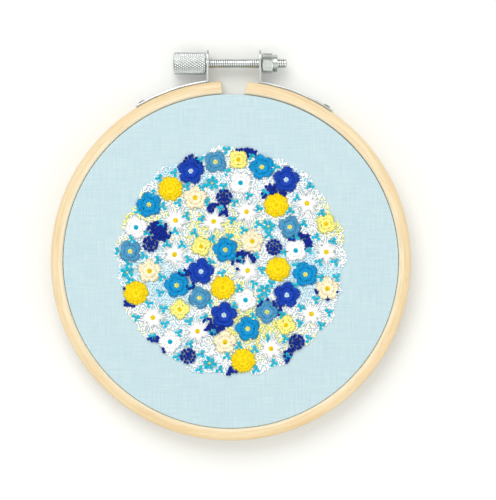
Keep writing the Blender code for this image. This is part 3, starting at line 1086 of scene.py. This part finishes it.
def make_stitches():
    """Every stitch of one colour in one piece, and every knot of it in another."""
    places = sunflower_places()
    baskets = {colour: Basket() for colour in FLOSS}
    for name, spot, turn in places:
        make_motif(baskets, MOTIFS[name], spot, turn)
    ground(baskets, places)
    backs(baskets, places)
    stitches, knots = stitch_pattern(), knot_pattern()
    made = []
    for colour, hex6 in FLOSS.items():
        basket = baskets[colour]
        finish = floss_finish(colour, hex6)
        if basket.lines:
            source = basket.stitch_mesh()
            values = {"Points": THREAD_POINTS, "Sides": THREAD_SIDES, "Draw": THREAD_DRAW}
            made.append(stitches.make(colour + "_stitches", source, Finish=finish, **values))
        if basket.knots:
            source = basket.knot_mesh()
            made.append(knots.make(colour + "_knots", source, Sides=KNOT_SIDES, Finish=finish))
    for piece in made:
        piece.data.shade_smooth()
        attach(piece, "root")
    return made


# Metal


def turned_bar_pattern():
    """A bar with ridges that wind round it: one way for a thread, both ways for a knurl."""
    names = ("Length", "Radius", "Pitch", "Depth", "Crest", "Chamfer", "Starts", "Both", "Middle")
    p = Pattern("turned_bar", Around="Int", Along="Int", **dict.fromkeys(names, "Float"))
    length, radius, pitch, depth, crest, chamfer, starts, both, middle = map(p.given, names)
    steps = {"Vertices": p.given("Around"), "Side Segments": p.given("Along")}
    inputs = {"Radius": radius, "Depth": length, **steps}
    bar = p.add("GeometryNodeMeshCylinder", {"fill_type": "NGON"}, inputs)
    x, y, z = p.position()
    turns = y.angle_to(x) / TURN * starts
    along = z / pitch
    first = ((along - turns).peak() * crest).least(1.0)
    second = ((along - turns * (1 - 2 * both)).peak() * crest).least(1.0)
    ridge = first.least(second * CROSSING_DEPTH + (1 - CROSSING_DEPTH))
    from_end = length / 2 - abs(z)
    limit = radius - (chamfer - from_end).most(0.0)
    grow = (radius - depth * (1 - ridge)).least(limit) / radius - 1
    # How far down a groove each point lies, which the nickel finish darkens as painted shade.
    bar = p.store(bar, "groove", (1 - ridge) * from_end.above(TOUCH))
    bar = p.shift(bar, p.vector(x * grow, y * grow, 0.0))
    return p.end(p.place(bar, p.vector(middle, SCREW_AXIS.y, SCREW_AXIS.z), (0, TURN / 4, 0)))


def make_screw(nickel):
    """The knurled knob and the threaded rod."""
    pattern = turned_bar_pattern()
    knob_end = screw_low.x + KNOB_LENGTH
    knob = pattern.make(
        "screw_knob",
        Around=KNURL_STARTS * STEPS_A_RIDGE,
        Along=KNOB_STEPS,
        Length=KNOB_LENGTH,
        Radius=KNOB_RADIUS,
        Pitch=KNURL_PITCH,
        Depth=KNURL_DEPTH,
        Crest=KNOB_CREST,
        Chamfer=KNOB_CHAMFER,
        Starts=float(KNURL_STARTS),
        Both=1.0,
        Middle=screw_low.x + KNOB_LENGTH / 2,
        Finish=nickel,
    )
    rod_length = screw_high.x - knob_end + ROD_IN_KNOB
    rod = pattern.make(
        "screw_rod",
        Around=ROD_AROUND,
        Along=round(rod_length / THREAD_PITCH) * STEPS_A_THREAD,
        Length=rod_length,
        Radius=ROD_RADIUS,
        Pitch=THREAD_PITCH,
        Depth=THREAD_DEPTH,
        Crest=ROD_CREST,
        Chamfer=ROD_CHAMFER,
        Starts=1.0,
        Both=0.0,
        Middle=screw_high.x - rod_length / 2,
        Finish=nickel,
    )
    for made in (knob, rod):
        smooth(made, degrees=38)
        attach(made, "screw")
    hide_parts("screw")
    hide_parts("screw")


def lathe(name, finish, profile, around, flat=None):
    """A closed profile of (along, out) turned about the X axis, with its six flats if given."""
    vertices, faces = [], []
    count = len(profile)
    for i in range(around):
        turn = TURN * i / around
        for along, out in profile:
            if flat:
                sixth = TURN / 6
                out = min(out, flat / math.cos((turn + sixth / 2) % sixth - sixth / 2))
            vertices.append((along, out * math.sin(turn), out * math.cos(turn)))
        here, there = i * count, (i + 1) % around * count
        for k in range(count):
            after = (k + 1) % count
            faces.append((here + k, here + after, there + after, there + k))
    mesh = bpy.data.meshes.new(name)
    mesh.from_pydata(vertices, [], faces)
    mesh.materials.append(finish)
    shape = bmesh.new()
    shape.from_mesh(mesh)
    bmesh.ops.remove_doubles(shape, verts=shape.verts, dist=TOUCH)
    bmesh.ops.recalc_face_normals(shape, faces=shape.faces)
    shape.to_mesh(mesh)
    shape.free()
    return put(name, mesh)


def move(mesh, place, turn, axis):
    """The mesh turned about an axis, then carried to its place."""
    mesh.transform(Matrix.Translation(place) @ Matrix.Rotation(turn, 4, axis))


def make_nut(nickel):
    """The hexagon nut with chamfered corners and its round collar."""
    start, end = nut_low.x, nut_high.x
    middle = start + NUT_LENGTH
    corner = NUT_FLAT / math.cos(TURN / 12) + NUT_CORNER_SPARE
    face = NUT_FLAT * NUT_FACE_SHARE
    hexagon = [
        (start, NUT_BORE),
        (start, face),
        (start + NUT_CHAMFER, corner),
        (middle - NUT_CHAMFER, corner),
        (middle, face),
        (middle, NUT_BORE),
    ]
    neck = middle - COLLAR_OVERLAP
    collar = [
        (neck, NUT_BORE),
        (neck, COLLAR_RADIUS - COLLAR_STEP),
        (neck + COLLAR_STEP, COLLAR_RADIUS - COLLAR_STEP),
        (neck + 2 * COLLAR_STEP, COLLAR_RADIUS),
    ]
    collar += [(end - back, COLLAR_RADIUS - under) for back, under in COLLAR_ROUND]
    collar.append((end - COLLAR_DISH, NUT_BORE))
    nut = lathe("nut_hexagon", nickel, hexagon, NUT_AROUND, NUT_FLAT)
    ring = lathe("nut_collar", nickel, collar, COLLAR_AROUND)
    for made in (nut, ring):
        move(made.data, SCREW_AXIS, NUT_TURN, "X")
        soften(made, NUT_BEVEL, degrees=30)
        smooth(made)
        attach(made, "nut")
        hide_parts("nut")


def around_hoop(radius, turn):
    """The point at a clockwise turn from +Y about the hoop's middle."""
    return (radius * math.sin(turn), radius * math.cos(turn))


def bracket_outline(side):
    """The bent strip seen from the front: its plate, a rounded bend and its strap."""
    near = PLATE_X[side] - SIGN[side] * PLATE_THICKNESS / 2
    far = PLATE_X[side] + SIGN[side] * PLATE_THICKNESS / 2
    start_in, start_out = math.asin(near / STRAP_INSIDE), math.asin(far / STRAP_OUTSIDE)
    end = STRAP_END[side]
    inside = [start_in + (end - start_in) * i / STRIP_STEPS for i in range(STRIP_STEPS + 1)]
    outside = [end + (start_out - end) * i / STRIP_STEPS for i in range(STRIP_STEPS + 1)]
    points = [(near, PLATE_TOP)]
    points += [around_hoop(STRAP_INSIDE, turn) for turn in inside]
    points += [around_hoop(STRAP_FACE, turn) for turn in outside]
    return points + [(far, PLATE_TOP)]


def strip_mesh(side):
    """The strip's outline raised to its width, the plate's upper corners rounded."""
    shape = bmesh.new()
    low = SCREW_AXIS.z - STRAP_WIDTH / 2
    points = [shape.verts.new((x, y, low)) for x, y in bracket_outline(side)]
    face = shape.faces.new(points)
    grown = bmesh.ops.extrude_face_region(shape, geom=[face])["geom"]
    raised = [g for g in grown if isinstance(g, bmesh.types.BMVert)]
    bmesh.ops.translate(shape, verts=raised, vec=(0, 0, STRAP_WIDTH))
    bmesh.ops.contextual_create(shape, geom=[e for e in shape.edges if e.is_boundary])
    top = [e for e in shape.edges if all(v.co.y > PLATE_TOP - TOUCH for v in e.verts)]
    corners = [e for e in top if abs(e.verts[0].co.z - e.verts[1].co.z) < TOUCH]
    steps = {"segments": PLATE_CORNER_STEPS, "profile": 0.5, "affect": "EDGES"}
    bmesh.ops.bevel(shape, geom=corners, offset=PLATE_CORNER, **steps)
    bmesh.ops.recalc_face_normals(shape, faces=shape.faces)
    mesh = bpy.data.meshes.new("bracket")
    shape.to_mesh(mesh)
    shape.free()
    mesh.transform(Matrix.Translation(HOOP_MIDDLE))
    return mesh


def drill_mesh(side):
    """A bar through the plate where the rod passes."""
    shape = bmesh.new()
    sizes = {"radius1": PLATE_HOLE, "radius2": PLATE_HOLE, "depth": 5 * PLATE_THICKNESS}
    bmesh.ops.create_cone(shape, cap_ends=True, segments=PLATE_HOLE_STEPS, **sizes)
    mesh = bpy.data.meshes.new("drill")
    shape.to_mesh(mesh)
    shape.free()
    move(mesh, Vector((PLATE_X[side], SCREW_AXIS.y, SCREW_AXIS.z)), TURN / 4, "Y")
    return mesh


def make_bracket(side, nickel):
    made = put("bracket_strip_" + side, strip_mesh(side))
    made.data.materials.append(nickel)
    drill = put("drill_" + side, drill_mesh(side))
    cut = made.modifiers.new("hole", "BOOLEAN")
    cut.operation = "DIFFERENCE"
    cut.solver = "EXACT"
    cut.object = drill
    soften(made, STRIP_BEVEL, degrees=40)
    bpy.data.objects.remove(drill)
    smooth(made)
    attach(made, "root")
    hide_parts("bracket_" + side)


def make_brad(side, nickel):
    """A domed brad head on the strap."""
    turn = STRAP_END[side] - SIGN[side] * BRAD_FROM_END
    root = BRAD_SEAT - BRAD_SHANK
    dome = [(root, 0.0), (root, BRAD_SHANK_RADIUS)]
    dome += [(BRAD_SEAT, BRAD_SHANK_RADIUS), (BRAD_SEAT, BRAD_RADIUS)]
    for i in range(1, BRAD_STEPS + 1):
        angle = TURN / 4 * i / BRAD_STEPS
        dome.append((BRAD_SEAT + BRAD_DOME * math.sin(angle), BRAD_RADIUS * math.cos(angle)))
    made = lathe("brad_head_" + side, nickel, dome, BRAD_AROUND)
    move(made.data, HOOP_MIDDLE + Vector((0, 0, SCREW_AXIS.z)), TURN / 4 - turn, "Z")
    smooth(made)
    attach(made, "root")
    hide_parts("brad_" + side)


# Stage, light and camera


def make_stage():
    mesh = bpy.data.meshes.new("floor")
    corners = ((-1, -1), (1, -1), (1, 1), (-1, 1))
    mesh.from_pydata([(x * FLOOR_HALF, y * FLOOR_HALF, 0) for x, y in corners], [], [(0, 1, 2, 3)])
    # The floor glows faintly though it is no lamp: painted light that lifts the shadows on it.
    finish = Finish("pale_floor", Roughness=0.9, Specular_IOR_Level=0.1, Emission_Strength=0.15)
    cloud = finish.noise(finish.where(), 3.0, 1.0)
    finish.paint(finish.mix(cloud * 0.2, light("dbdcd8"), light("d7d8d4")))
    mesh.materials.append(finish.material)
    put("floor", mesh)


def make_lights():
    world = bpy.data.worlds.new("studio")
    scene.world = world
    world.use_nodes = True
    nodes = Nodes(world.node_tree)
    _, _, up = nodes.xyz(nodes.add("ShaderNodeTexCoord", output=0))
    glow = nodes.add("ShaderNodeValToRGB", inputs={0: up})
    steps = glow.socket.node.color_ramp.elements
    while len(steps) < len(SKY_GLOW):
        steps.new(0.5)
    for step, (height, bright) in zip(steps, SKY_GLOW):
        step.position = height
        step.color = (bright, bright, bright, 1)
    nodes.feed(world.node_tree.nodes["Background"].inputs["Color"], glow)
    for name, (place, power) in LAMPS.items():
        lamp = bpy.data.lights.new(name, "AREA")
        lamp.shape = "DISK"
        lamp.size = LAMP_SIZE
        lamp.energy = power
        holder = put(name, lamp)
        holder.location = Vector(place)
        holder.rotation_euler = (-Vector(place)).to_track_quat("-Z", "Y").to_euler()


def make_camera():
    """Above the face, a little toward the screw, with the hoop where the photograph has it."""
    pixel = 2 * HOOP_RADIUS / HOOP_SPAN_PIXELS
    right = (FRAME_WIDTH / 2 - HOOP_MIDDLE_PIXEL[0]) * pixel
    lean = HOOP_RADIUS**2 * math.sin(CAMERA_TILT) / CAMERA_DISTANCE
    up = (HOOP_MIDDLE_PIXEL[1] - FRAME_HEIGHT / 2) * pixel + lean
    aim = HOOP_MIDDLE + Vector((right, up, RING_DEPTH))
    data = bpy.data.cameras.new("camera")
    data.sensor_width = SENSOR
    data.lens = SENSOR * CAMERA_DISTANCE / (pixel * max(FRAME_WIDTH, FRAME_HEIGHT))
    data.clip_start = 0.01
    camera = put("camera", data)
    back = Vector((0, math.sin(CAMERA_TILT), math.cos(CAMERA_TILT)))
    camera.location = aim + back * CAMERA_DISTANCE
    camera.rotation_euler = (-CAMERA_TILT, 0, 0)
    scene.camera = camera


make_camera()
make_stage()
make_lights()
bamboo, cotton = bamboo_finish(), cotton_finish()
nickel = nickel_finish("nickel", "e9ecea", "d5d9d7")
# The nut's and the strips' nickel are darker copies of the same plate: painted shade.
nut_nickel = nickel_finish("nut_nickel", "d0d5d0", "bcc2bd", 0.16)
strip_nickel = nickel_finish("strip_nickel", "c9ccca", "b9bcba", 0.3)
# Dark nickel for the brad heads: painted shadow about the brads.
aged_nickel = nickel_finish("aged_nickel", "8d8f8a", "6c6d68")
make_rings(bamboo)
cloth, cut_radius = make_cloth(cotton)
threads = make_stitches()
make_screw(nickel)
make_nut(nut_nickel)
for side in ("left", "right"):
    make_bracket(side, strip_nickel)
    make_brad(side, aged_nickel)
scene.view_settings.view_transform = "Standard"
